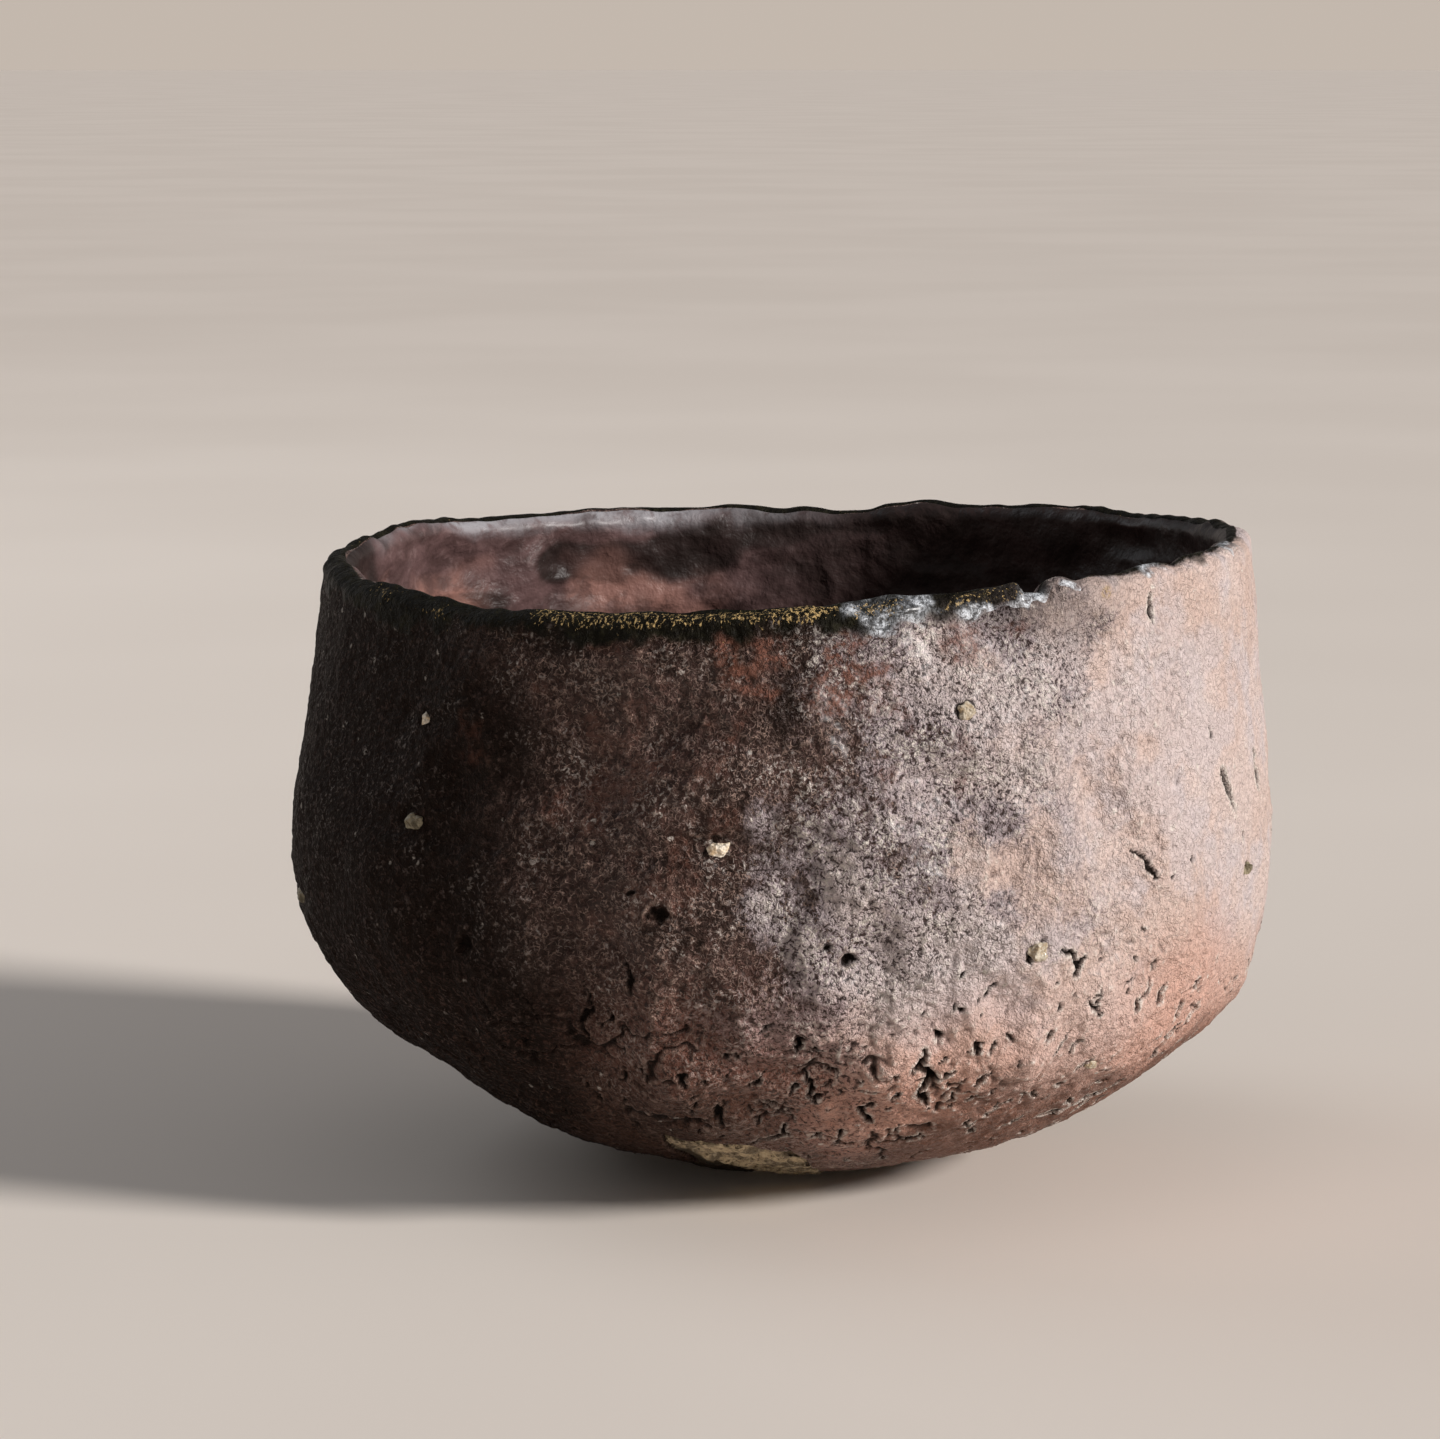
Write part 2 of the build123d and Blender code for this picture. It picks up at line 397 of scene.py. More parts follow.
# Cracks: azimuth, height, points of the chart, wide, deep and burr.
CRACKS = (
    (288.0, 19.8, ((-1.2, 4.8), (-1.3, 2.4), (0.4, 0.5), (0.7, -0.5), (-0.8, -2.6)), 0.55, 1.1),
    (288.0, 19.8, ((0.6, 0.0), (1.9, 0.4), (2.6, 2.2)), 0.35, 0.7),
    (288.0, 19.8, ((-0.8, -2.6), (1.2, -5.2)), 0.35, 0.6),
    (303.0, 34.4, ((-1.0, 1.4), (0.4, 1.0), (2.0, -0.4), (2.5, -1.4), (1.6, -2.4)), 0.34, 0.8),
    (303.0, 34.4, ((2.4, -1.0), (4.2, -0.6)), 0.26, 0.5),
    (334.0, 50.6, ((-1.9, 2.6), (-0.9, 1.2), (0.6, -0.6), (1.8, -2.6)), 0.42, 1.0),
    (334.0, 50.6, ((-3.4, 2.4), (-1.9, 2.5)), 0.3, 0.5),
    (345.0, 51.6, ((0.0, 2.3), (0.3, 0.4), (0.2, -2.4)), 0.42, 0.9),
    (319.0, 74.6, ((-0.2, 1.7), (0.0, 0.2), (0.5, -1.7)), 0.4, 0.9),
    (315.0, 44.5, ((-1.6, 1.8), (0.2, 0.1), (1.4, -2.2)), 0.22, 0.35),
    (318.0, 12.5, ((-4.6, -2.6), (-1.4, -0.9), (1.8, 0.2), (5.2, 2.4)), 0.34, 0.8),
    (246.5, 25.0, ((0.2, 7.6), (0.5, 3.2), (-0.9, 1.2), (-0.6, -1.8), (-1.9, -4.4)), 0.2, 0.35, 0.3),
    (240.0, 27.5, ((-0.6, 3.4), (0.3, 0.8), (0.1, -1.9)), 0.18, 0.3, 0.3),
    (235.0, 27.0, ((-0.8, 1.9), (-0.3, 0.2), (1.0, -1.2)), 0.17, 0.3, 0.3),
    (261.0, 15.0, ((0.7, 3.6), (0.2, 1.1), (0.4, -2.6)), 0.3, 0.6),
    (268.0, 11.2, ((1.7, 3.4), (2.2, 0.6), (-0.4, -1.2), (-3.6, -3.6)), 0.36, 0.8),
    (273.0, 18.0, ((-0.2, 2.8), (0.9, 0.2), (1.4, -2.2)), 0.3, 0.5),
    (281.0, 15.0, ((0.6, 3.2), (0.0, 0.3), (1.2, -2.0)), 0.3, 0.5),
    (253.0, 32.5, ((-0.2, 2.6), (0.2, -2.4)), 0.22, 0.3),
    (150.0, 30.0, ((-1.6, 2.6), (0.2, 0.2), (0.4, -2.8)), 0.3, 0.6),
    (65.0, 48.0, ((-0.4, 2.6), (0.3, 0.0), (1.5, -2.2)), 0.34, 0.8),
    (100.0, 18.0, ((-3.0, -1.8), (0.2, 0.1), (3.6, 1.4)), 0.34, 0.7),
    (20.0, 22.0, ((-1.8, 2.4), (0.4, 0.4), (0.2, -2.8)), 0.36, 0.8),
)


def scatter_pits():
    """Torn holes crowding the lower wall, most of all at the front right, and a few higher up."""
    for _ in range(2600):
        azimuth = random.uniform(0, 360)
        height = random.uniform(4, 76)
        size = random.gamma(0.9, 1.1)
        tilt = random.normal(75, 32)
        chance = random.uniform()
        right = smooth(70, 30, abs(turned(azimuth, 325)))
        low = smooth(24, 15, height)
        crowded = smooth(28, 17, height - 10 * right) * (0.3 + 0.35 * right) + 0.35 * low
        stray = 0.03 * smooth(62, 80, abs(turned(azimuth, 280)))
        if chance < stray + crowded:
            long = min(0.3 + 0.32 * size, 1.2 - 0.3 * low)
            wide = long * (0.2 + 0.25 * chance)
            if random.uniform() < 0.8:
                tear(azimuth, height, 1.3 * long, 0.12 + 0.09 * long, 0.25 + 0.4 * long, tilt)
            else:
                pit(azimuth, height, 0.8 * long, max(0.8 * wide, 0.22), 0.3 + 0.4 * long, tilt, 0.08)


def stone_places():
    """(middle, radius) of each CAD stone in millimetres, by azimuth."""
    apart = 4.6  # wider than any stone, and less than the gap between two
    corner = 1.3  # how far a stone's corners reach, as a factor of its radius
    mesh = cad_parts["feldspar_stones"].data
    left = np.array([vertex.co for vertex in mesh.vertices]) / MM
    places = []
    while len(left):
        near = np.linalg.norm(left - left[0], axis=1) < apart
        members, left = left[near], left[~near]
        middle = (members.min(axis=0) + members.max(axis=0)) / 2
        places.append((middle, np.linalg.norm(members - middle, axis=1).max() / corner))
    return sorted(places, key=lambda place: azimuth_of(place[0]))


def crevice(middle, radius):
    """The gap round a stone, where the clay shrank away from it, painted dark as shade."""
    here, x, y = chart(azimuth_of(middle), middle[2], 2.2 * radius)
    out = np.hypot(x, y) / radius
    gap = np.exp(-(((out - 1.05) / 0.24) ** 2)) * smooth(-0.9, 0.6, (y - x) / radius)
    relief[here] -= 0.35 * gap
    pitted[here] = np.maximum(pitted[here], 0.9 * gap)


def lay_relief():
    """All the relief, outside and inside, with the shallow lip that both share."""
    global relief
    for place in HOLES:
        pit(*place)
    for place in CRACKS:
        crack(*place)
    scatter_pits()
    for place in STONES:
        crevice(*place)
    outside = finger_dents() + skin()
    inside = inside_relief()
    near_lip = smooth(9, 1, np.abs(BELOW))
    rim = 0.16 * noise(BARE, 2.4, 16) + 0.22 * noise(BARE, 6.5, 17)
    body = np.where(SIDE, outside, inside)
    relief += body * (1 - 0.75 * near_lip) + rim * near_lip


def lip_lift():
    """How far the lip stands above its even wave: nicks, and a bite at the front right."""
    ring = BARE[LIP_ROW]
    lift = 0.3 * noise(ring, 9, 18) + 0.16 * noise(ring, 3.5, 19)
    lift -= 1.25 * smooth(2.3, 1.2, away(300.4))
    lift += 0.45 * smooth(2.6, 0.4, away(304.6))
    return (lift - 0.3) * smooth(9, 0.5, np.abs(BELOW))


def foot_edge():
    """How far past the edge of the buff clay a place is: negative where the foot covers the wall.

    The foot lies under the bowl, and breaks out of the brown clay in a slanting lens at the front left.
    """
    x, y = BARE[..., 0], BARE[..., 1]
    past = turned(AZIMUTH, 258)
    lens = (20.8 - 0.16 * past) * smooth(-14, -8, past) * smooth(29, 12, past)
    edge = 17.5 + lens + 0.7 * noise(BARE, 5, 62) + 0.4 * noise(BARE, 1.8, 63)
    return np.where(SIDE, np.hypot(x + 1, y + 1.5) - edge, 99.0)


FOOT_EDGE = foot_edge()
FOOT_REACH = smooth(0.35, -0.35, FOOT_EDGE)
CREASE = np.exp(-(((FOOT_EDGE - 0.5) / 0.45) ** 2))

STONES = stone_places()
lay_relief()
relief -= 0.8 * FOOT_REACH * smooth(1.8, 3.2, HEIGHT) + 0.5 * CREASE
# Painted shade in the crease where the foot meets the wall.
pitted = np.maximum(pitted, 0.9 * CREASE)
FORM = BARE + OUTWARD * relief[..., None]
FORM[..., 2] += lip_lift()
FORM_OUT = normals(FORM)


# Meshes.


def faces_of(rows, columns, closed):
    """Quads of a grid that closes on itself round its columns and, if closed, its rows too."""
    row = np.arange(rows if closed else rows - 1)[:, None] * columns
    next_row = (row + columns) % (rows * columns)
    column = np.arange(columns)[None, :]
    next_column = (column + 1) % columns
    faces = np.stack([row + column, row + next_column, next_row + next_column, next_row + column], axis=2)
    return faces.reshape(-1, 4)


def end_fans(rows, columns, uv_rows):
    """Triangles that close both ends of a grid round two more points: corners, u and v."""
    ring = np.arange(columns)
    after = (ring + 1) % columns
    top = (rows - 1) * columns
    first = np.full(columns, rows * columns)
    low = (np.stack([first, after, ring], axis=1), ring[:, None] + np.array([0.5, 1, 0]))
    high = (np.stack([top + ring, top + after, first + 1], axis=1), ring[:, None] + np.array([0, 1, 0.5]))
    low_v = np.tile([0.0, uv_rows[0], uv_rows[0]], (columns, 1))
    high_v = np.tile([uv_rows[-1], uv_rows[-1], 1.0], (columns, 1))
    pairs = ((low[0], high[0]), (low[1], high[1]), (low_v, high_v))
    return [np.concatenate(pair).reshape(-1) for pair in pairs]


def bake_map(u, v, right, columns):
    """The map for baking: the left and right halves stacked, so that both are drawn large."""
    margin = 0.006
    u = margin + (1 - 2 * margin) * (u - right * (columns // 2)) / (columns / 2)
    v = margin + (0.5 - 2 * margin) * v + 0.5 * right
    return np.stack([u, v], axis=1)


def lay_mask(mesh, label, values):
    """Give each point its row of values, and black to the points past the last row."""
    colour = np.zeros((len(mesh.vertices), 4), np.float32)
    colour[: len(values), :3] = values
    colour[:, 3] = 1
    attribute = mesh.attributes.new(label, "FLOAT_COLOR", "POINT")
    attribute.data.foreach_set("color", colour.reshape(-1))


def mesh_of(name, vertices, corners, sizes, uv):
    """A smooth mesh of faces that take up the corners in turn, as many each as its size."""
    mesh = bpy.data.meshes.new(name)
    mesh.vertices.add(len(vertices))
    mesh.vertices.foreach_set("co", (vertices * MM).astype(np.float32).reshape(-1))
    mesh.loops.add(len(corners))
    mesh.loops.foreach_set("vertex_index", corners.astype(np.int32))
    mesh.polygons.add(len(sizes))
    mesh.polygons.foreach_set("loop_start", (np.cumsum(sizes) - sizes).astype(np.int32))
    mesh.polygons.foreach_set("use_smooth", np.ones(len(sizes), bool))
    layer = mesh.uv_layers.new(name="OFBake")
    layer.data.foreach_set("uv", uv.astype(np.float32).reshape(-1))
    mesh.update(calc_edges=True)
    return mesh


def add_mesh(name, points, uv_rows, masks, closed=False):
    """An object of a grid of points in millimetres. An open grid is closed with a point at each end."""
    rows, columns = points.shape[:2]
    quads = faces_of(rows, columns, closed)
    vertices, corners, sizes = points.reshape(-1, 3), quads.reshape(-1), np.full(len(quads), 4)
    across = np.tile(np.arange(columns), len(quads) // columns)
    down = np.repeat(np.arange(len(quads) // columns), columns)
    u = (across[:, None] + np.array([0, 1, 1, 0])).reshape(-1)
    v = np.append(uv_rows, uv_rows[-1])[down[:, None] + np.array([0, 0, 1, 1])].reshape(-1)
    if not closed:
        more_corners, more_u, more_v = end_fans(rows, columns, uv_rows)
        vertices = np.concatenate([vertices, [points[0].mean(axis=0), points[-1].mean(axis=0)]])
        corners = np.concatenate([corners, more_corners])
        sizes = np.concatenate([sizes, np.full(2 * columns, 3)])
        across = np.concatenate([across, np.arange(columns), np.arange(columns)])
        u, v = np.concatenate([u, more_u]), np.concatenate([v, more_v])
    right = np.repeat(across >= columns // 2, sizes)
    mesh = mesh_of(name, vertices, corners, sizes, bake_map(u, v, right, columns))
    for label, values in masks.items():
        lay_mask(mesh, label, values.reshape(-1, 3))
    mesh.validate()
    return placed(name, mesh)


def stand_for(piece, node):
    """The piece rides on the one body, in place of a CAD node, which it hides."""
    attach(piece, "root")
    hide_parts(node)


# Where the fire and the ash coloured the wall, with painted light laid in among it: sheen on the pale side, a
# reflection below the rim, and shade low at the left, in pits and hollows and inside. Each is a share from 0
# to 1 over the whole grid.
# Patches: share, azimuth, height, half width, half height, raggedness, seed and softness.
SOOT_PATCHES = (
    (0.85, 270.6, 68.0, 3.2, 10.0, 0.6, 41, 0.4),
    (0.5, 261.0, 45.0, 6.5, 10.0, 0.7, 87, 0.4),
    (0.6, 258.0, 71.0, 6.0, 4.0, 0.9, 43),
)
DULL_PATCHES = (
    (0.4, 266.0, 61.0, 11.0, 15.0, 0.8, 48),
    (0.5, 261.5, 45.0, 6.5, 10.0, 0.8, 57, 0.4),
    (0.35, 300.0, 71.0, 8.0, 6.0, 0.8, 68, 0.4),
)
# Pale patches: partly ash, partly painted sheen of the light.
PALE_PATCHES = (
    (0.62, 275.0, 46.0, 8.0, 10.0, 0.6, 69, 0.5),
    (0.95, 284.5, 20.0, 9.0, 10.0, 0.7, 73, 0.4),
    (0.97, 298.0, 44.0, 12.0, 18.0, 0.5, 75, 0.5),
)
RED_PATCHES = (
    (1.0, 267.0, 70.4, 4.8, 5.6, 1.0, 28),
    (0.6, 262.5, 64.0, 4.0, 6.0, 1.0, 30),
    (1.0, 277.0, 70.0, 5.0, 4.4, 1.0, 32),
    (0.8, 289.5, 72.0, 5.0, 3.4, 1.0, 34),
    (0.8, 297.0, 74.4, 3.0, 1.8, 1.0, 36),
    (0.5, 283.0, 61.0, 5.0, 7.0, 1.1, 37),
    (0.4, 252.0, 57.0, 9.0, 12.0, 1.2, 39),
    (0.6, 70.0, 66.0, 7.0, 6.0, 1.0, 38),
    (0.6, 158.0, 69.0, 7.0, 5.0, 1.0, 40),
)
ASH_PATCHES = (
    (1.0, 284.0, 41.0, 12.0, 15.0, 0.8, 42),
    (1.0, 275.5, 42.0, 8.0, 8.0, 0.8, 49),
    (0.15, 266.0, 36.0, 16.0, 10.0, 0.9, 44),
    (0.9, 291.0, 62.0, 12.0, 10.0, 0.8, 45),
    (0.8, 322.0, 61.0, 13.0, 13.0, 0.8, 47),
    (0.5, 95.0, 45.0, 22.0, 16.0, 0.8, 46),
)
CRUST_PATCHES = (
    (0.8, 310.5, 77.2, 0.9, 0.8, 0.4, 71),
    (0.7, 250.5, 73.6, 1.0, 0.8, 0.5, 72),
)
# Painted reflection of the light on the lip's glaze, bluish white below the rim.
REFLECTION_PATCHES = (
    (1.0, 283, 74.8, 5.2, 2.2, 0.8, 74),
    (1.0, 293, 75.8, 8.0, 2.2, 0.8, 76),
    (0.9, 309, 76.2, 9.0, 2.4, 0.8, 78),
    (0.8, 326, 77.2, 11.0, 2.0, 0.7, 82),
    (0.6, 343, 78.2, 9.0, 1.8, 0.7, 84),
)


def patch(azimuth, height, wide, tall, ragged, seed, soft=0.0):
    """An oval patch on the wall, sized by half its width and half its height, with a soft edge."""
    x = radians(1) * 60 * turned(AZIMUTH, azimuth)
    out = np.hypot(x / wide, (HEIGHT - height) / tall)
    out = out + ragged * noise(BARE, 5, seed) + 0.25 * ragged * noise(BARE, 1.6, seed + 1)
    return smooth(1.15 + soft, 0.55 - soft, out)


def patches(places, total=0.0):
    """The most that any of several patches gives, or total where that is more."""
    for share, *place in places:
        total = np.maximum(total, share * patch(*place))
    return total


def zones():
    """Soot, with painted shade low at the left under the bowl; the pale side toward the light, partly ash and
    partly painted sheen; and bare red earth low down.
    """
    drift = 9 * noise(BARE, 30, 22) + 5 * noise(BARE, 11, 23)
    past_front = turned(AZIMUTH, 270)
    back = smooth(100, 60, away(110))
    soot = smooth(264, 226, past_front + 270 + drift) * smooth(60, 150, AZIMUTH - 0.5 * drift)
    under_lip = 0.9 * smooth(9, 2, BELOW + 3.5 * noise(BARE, 9, 24)) * smooth(66, 36, away(270) + 14)
    soot = patches(SOOT_PATCHES, np.maximum(soot, under_lip))
    soot = np.maximum(soot, 0.6 * smooth(0.2, 0.9, noise(BARE, 26, 25)) * back)
    # Painted shade: the wall low at the left, under the bowl, is darkened in this same share.
    low_left = smooth(-1, -18, past_front) * smooth(-150, -100, past_front)
    soot = np.maximum(soot, 0.78 * smooth(28, 12, HEIGHT) * low_left)
    # The pale side toward the key light: partly ash, partly painted sheen of that light.
    past = turned(AZIMUTH, 318) + 13 * smooth(38, 27, HEIGHT) * smooth(6, 14, HEIGHT)
    pale = smooth(-60, -7, past + 0.7 * drift) * smooth(96, 50, past + drift)
    for share, *place in DULL_PATCHES:
        pale = pale * (1 - share * patch(*place))
    pale = patches(PALE_PATCHES, pale)
    pale = np.maximum(pale, 0.45 * smooth(0.1, 0.9, noise(BARE, 30, 26)) * back)
    earth = smooth(38, 16, HEIGHT + 5 * noise(BARE, 16, 27))
    return channels(soot * SIDE, pale * SIDE, earth * SIDE)


def wear():
    """Pits and cracks, whose bottoms are painted dark as shade, red patches under the lip, and the violet
    sheen of ash on the front.
    """
    red = patches(RED_PATCHES)
    red = red * smooth(-0.5, 0.3, noise(BARE, 2.6, 80)) * smooth(3.6, 5.6, BELOW + noise(BARE, 3, 81))
    return channels(pitted, red * SIDE, patches(ASH_PATCHES) * SIDE)


def ground():
    """The dark foot of the wall, which climbs highest to the right of the front, as the first share."""
    past = (-50, -28, -16, -9, -3, 3, 8, 18, 34, 45)
    tops = (18, 19, 14, 7, 8, 16, 18, 19, 18, 20)
    ragged = HEIGHT + 2.5 * noise(BARE, 7, 85) + 1.2 * noise(BARE, 2.6, 86)
    deep = 0.95 * smooth(5, -5, ragged - np.interp(turned(AZIMUTH, 288), past, tops))
    return channels(deep * SIDE, 0 * deep, 0 * deep)


def box_blur(values, reach):
    """Values averaged over a square of the grid, which closes round its columns."""
    width = 2 * reach + 1
    total = np.zeros_like(values)
    for step in range(-reach, reach + 1):
        total += np.roll(values, step, axis=1)
    total /= width
    sums = np.cumsum(np.pad(total, ((reach + 1, reach), (0, 0)), mode="edge"), axis=0)
    return (sums[width:] - sums[:-width]) / width


def lie():
    """Raised and hollow parts of the relief, for painted highlight on the one and painted shade in the other,
    and ochre crust on the rim.
    """
    over = relief - box_blur(relief, max(int(0.8 / SPACING), 1))
    return channels(smooth(0.05, 0.18, over), smooth(-0.04, -0.18, over), patches(CRUST_PATCHES))


def blush(azimuth, depth, wide, tall):
    """An oval patch inside, its middle depth below the lip, sized by half its width and height."""
    ragged = 0.45 * noise(BARE, 9, 53) + 0.2 * noise(BARE, 3, 54)
    x = radians(1) * 56 * turned(AZIMUTH, azimuth)
    return smooth(1.2, 0.4, np.hypot(x / wide, (-BELOW - depth) / tall) + ragged)


def inside_zones():
    """Salmon blush at the left, a pale sheen under the lip at the back painted as a reflection of the light,
    and dark smears with painted shade deep down and painted shadow on the right side.
    """
    depth = -BELOW
    salmon = np.maximum(blush(170, 15, 27, 9), 0.6 * blush(112, 13, 12, 5))
    edge = 3.0 + 1.6 * noise(BARE, 11, 53) + 0.7 * noise(BARE, 3, 54)
    # Painted reflection: a pale band of light under the lip at the back.
    sheen = smooth(1.8, -1.4, depth - edge) * smooth(48, 26, away(124))
    blotches = noise(BARE, 13, 55, stretch=0.4) + 0.4 * noise(BARE, 4, 56)
    # Dark smears, with painted shade growing deeper down into the bowl.
    hollow = smooth(0.1, 0.6, blotches + 0.6 * smooth(34, 70, depth))
    # Painted shadow on the right side inside, which the lip shades from the light.
    shade = smooth(70, 34, away(35) + 6 * noise(BARE, 14, 59))
    dark = np.maximum(hollow * (1 - 0.7 * salmon) * (1 - sheen), shade)
    return channels(salmon * (1 - sheen), sheen, dark)


CLAY_MASKS = {"zones": zones(), "wear": wear(), "lie": lie(), "ground": ground()}


# The pieces cut from the grid.


def clay_piece():
    """The whole clay wall. Under the inner glaze, where it can't be seen, its rows are sparse."""
    covered = np.arange(LIP_END, ROWS, int(3 / SPACING))
    rows = np.concatenate([np.arange(LIP_END), covered])
    past = (rows - LIP_END) * SPACING
    sunk = np.clip(past * 0.2, 0.0, 1.6) + np.where(rows >= LIP_END, 0.4, 0.0)
    points = FORM[rows] - FORM_OUT[rows] * sunk[:, None, None]
    seen = 0.97  # the share of the baking map for what can be seen
    seen_uv = seen * np.arange(LIP_END) / LIP_END
    covered_uv = np.linspace(seen, 1, len(covered) + 1)[:-1]
    masks = {label: values[rows] for label, values in CLAY_MASKS.items()}
    return add_mesh("clay_wall", points, np.concatenate([seen_uv, covered_uv]), masks)


def film(name, first, last, top, masks, under=0.55):
    """A skin on rows first to last of the grid, with its top given, closed underneath."""
    rows = np.arange(first, last)
    back = rows[:: -int(BACK_STEP / SPACING)]
    below = FORM[back] - FORM_OUT[back] * under
    seen = 0.95  # the share of the baking map for what can be seen
    top_uv = seen * np.arange(len(rows)) / len(rows)
    below_uv = np.linspace(0, 1 - seen, len(back) + 1)[:-1]
    if last == ROWS:
        parts, uv_rows, order = [below, top[rows]], [below_uv, 1 - seen + top_uv], [back, rows]
    else:
        parts, uv_rows, order = [top[rows], below], [top_uv, seen + below_uv], [rows, back]
    closed = first > 0 and last < ROWS
    order = np.concatenate(order)
    kept = {label: values[order] for label, values in masks.items()}
    return add_mesh(name, np.concatenate(parts), np.concatenate(uv_rows), kept, closed)


def standing_out(thickness):
    return FORM + FORM_OUT * thickness[..., None]


def lip_film():
    """The dark glaze on the lip. It has run to a ragged edge, low at the left and short at the right."""
    run = 3.3 + 1.3 * noise(BARE, 8, 50) + 1.0 * noise(BARE, 2.4, 51) + 0.6 * noise(BARE, 1.1, 58)
    run += 1.6 * smooth(60, 25, away(238))
    run += 1.6 * smooth(9, 3, away(261.5))
    run -= 2.3 * smooth(68, 38, away(350))
    outer = smooth(1.6, -1.6, BELOW - run)
    inner = smooth(0.5, -0.5, -BELOW - 1.0 - 0.5 * noise(BARE, 5, 52))
    thickness = -0.1 + 0.22 * np.where(SIDE, outer, inner)
    first = int(np.min(np.argmax(BELOW < 9, axis=0)))
    last = int(np.max(np.argmax(BELOW < -5, axis=0)))
    body = np.where(SIDE, smooth(0.4, -1.6, BELOW - run), 1)
    gold = 0.8 * smooth(2.8, 0.8, np.abs(BELOW - 1.2)) * smooth(56, 30, away(256))
    gold = gold * smooth(-0.1, 0.5, noise(BARE, 6, 79)) * SIDE
    gold = np.maximum(gold, patch(273, 76.2, 4.2, 1.5, 0.6, 70) * SIDE)
    # The lip mask's first share is the painted reflection below the rim.
    masks = {**CLAY_MASKS, "lip": channels(patches(REFLECTION_PATCHES), body, gold)}
    return film("lip_glaze_run", first, last, standing_out(thickness), masks)


def inner_film():
    """The glaze inside, which starts under the lip's own."""
    first = LIP_ROW + int(0.3 / SPACING)
    depth = (np.arange(ROWS) - first)[:, None] * SPACING
    top = standing_out(-0.25 + 0.3 * smooth(0, 0.9, depth))
    masks = {"inside": inside_zones(), "lie": CLAY_MASKS["lie"]}
    return film("inner_glaze_coat", first, ROWS, top, masks, under=0.45)


def foot_film():
    """The buff clay under the bowl: flat where it stands, thin where it breaks out at the front."""
    x, y = BARE[..., 0], BARE[..., 1]
    from_seat = np.hypot(x + 3.5, y + 2.5) + 0.5 * noise(BARE, 4, 60)
    standing = smooth(13.5, 11.0, from_seat)
    crumbled = 0.22 * flakes(warped(96), 2.6, 109) + 0.2 * noise(BARE, 3.2, 110) + 0.1 * noise(BARE, 1.0, 111)
    top = standing_out(-0.35 + (0.85 + crumbled) * smooth(0.35, 0.9, FOOT_REACH))
    floor = 0.12 * smooth(-0.2, 0.9, noise(BARE, 2.2, 61))
    top[..., 2] += standing * (floor - top[..., 2])
    top[..., 2] = np.maximum(top[..., 2], 0)
    last = int(np.max(np.argmax(HEIGHT[:OUTER_END] > 13, axis=0)))
    # Painted shadow: below this line the foot at the front left is painted dark, where the bowl shades it.
    line = np.interp(turned(AZIMUTH, 258), (-9, -3, 4, 20), (7.2, 3.6, 1.2, 1.0))
    light_part = smooth(-0.8, 0.8, HEIGHT - line)
    masks = {"lie": CLAY_MASKS["lie"], "light_part": channels(light_part, light_part, light_part)}
    return film("foot_lump", 0, last, top, masks, under=0.5)


# Feldspar stones.


def nugget(vectors, number):
    """A unit ball's points struck flat on a few sides and roughened, as a crushed stone is."""
    chipping = np.random.RandomState(100 + number)
    size = np.full(len(vectors), 1.15)
    for _ in range(9):
        way = chipping.normal(size=3)
        way /= np.linalg.norm(way)
        facing = vectors @ way
        cut = chipping.uniform(0.72, 1.0)
        size = np.where(facing > 0.2, np.minimum(size, cut / np.maximum(facing, 0.2)), size)
    size = size * (1 + 0.16 * noise(vectors, 0.6, number) + 0.06 * noise(vectors, 0.2, number))
    return vectors * size[:, None]


def glint(azimuth, height):
    """How bright a stone is: bright at the front, half as bright at the front right, and nearly as bright at
    one height on the left.
    """
    bright = smooth(20, 8, abs(turned(azimuth, 263))) + 0.5 * smooth(25, 10, abs(turned(azimuth, 300)))
    return bright + 0.8 * smooth(12, 5, abs(turned(azimuth, 225))) * smooth(6, 2, abs(height - 61.8))


def surface_at(place):
    """The wall's outward normal and its finished surface at the azimuth and height of a place."""
    column = column_at(azimuth_of(place))
    row = int(np.argmin(np.abs(HEIGHT[:OUTER_END, column] - place[2])))
    return OUTWARD[row, column], FORM[row, column]


def stones_piece():
    """All the stones as one object, each sunk in the wall at its CAD place."""
    flattened = np.array([1.0, 0.82, 0.7])
    sunk = 0.22  # share of a stone's radius
    bpy.ops.mesh.primitive_ico_sphere_add(subdivisions=5, radius=1)
    ball = bpy.context.object
    vectors = np.array([vertex.co for vertex in ball.data.vertices])
    faces = np.array([list(polygon.vertices) for polygon in ball.data.polygons])
    bpy.data.objects.remove(ball)
    points, triangles, tints = [], [], []
    for number, (middle, radius) in enumerate(STONES):
        normal, surface = surface_at(middle)
        side = np.cross(normal, [0, 0, 1])
        side /= np.linalg.norm(side)
        up = np.cross(side, normal)
        shape = nugget(vectors, number) * flattened * radius
        centre = surface - normal * radius * sunk
        points.append(centre + shape[:, :1] * side + shape[:, 1:2] * up + shape[:, 2:] * normal)
        triangles.append(faces + number * len(vectors))
        tints.append(np.full((len(vectors), 3), glint(azimuth_of(middle), middle[2])))
    mesh = bpy.data.meshes.new("stones")
    mesh.from_pydata((np.concatenate(points) * MM).tolist(), [], np.concatenate(triangles).tolist())
    mesh.shade_smooth()
    lay_mask(mesh, "tint", np.concatenate(tints))
    return placed("stones", mesh)


# Materials.


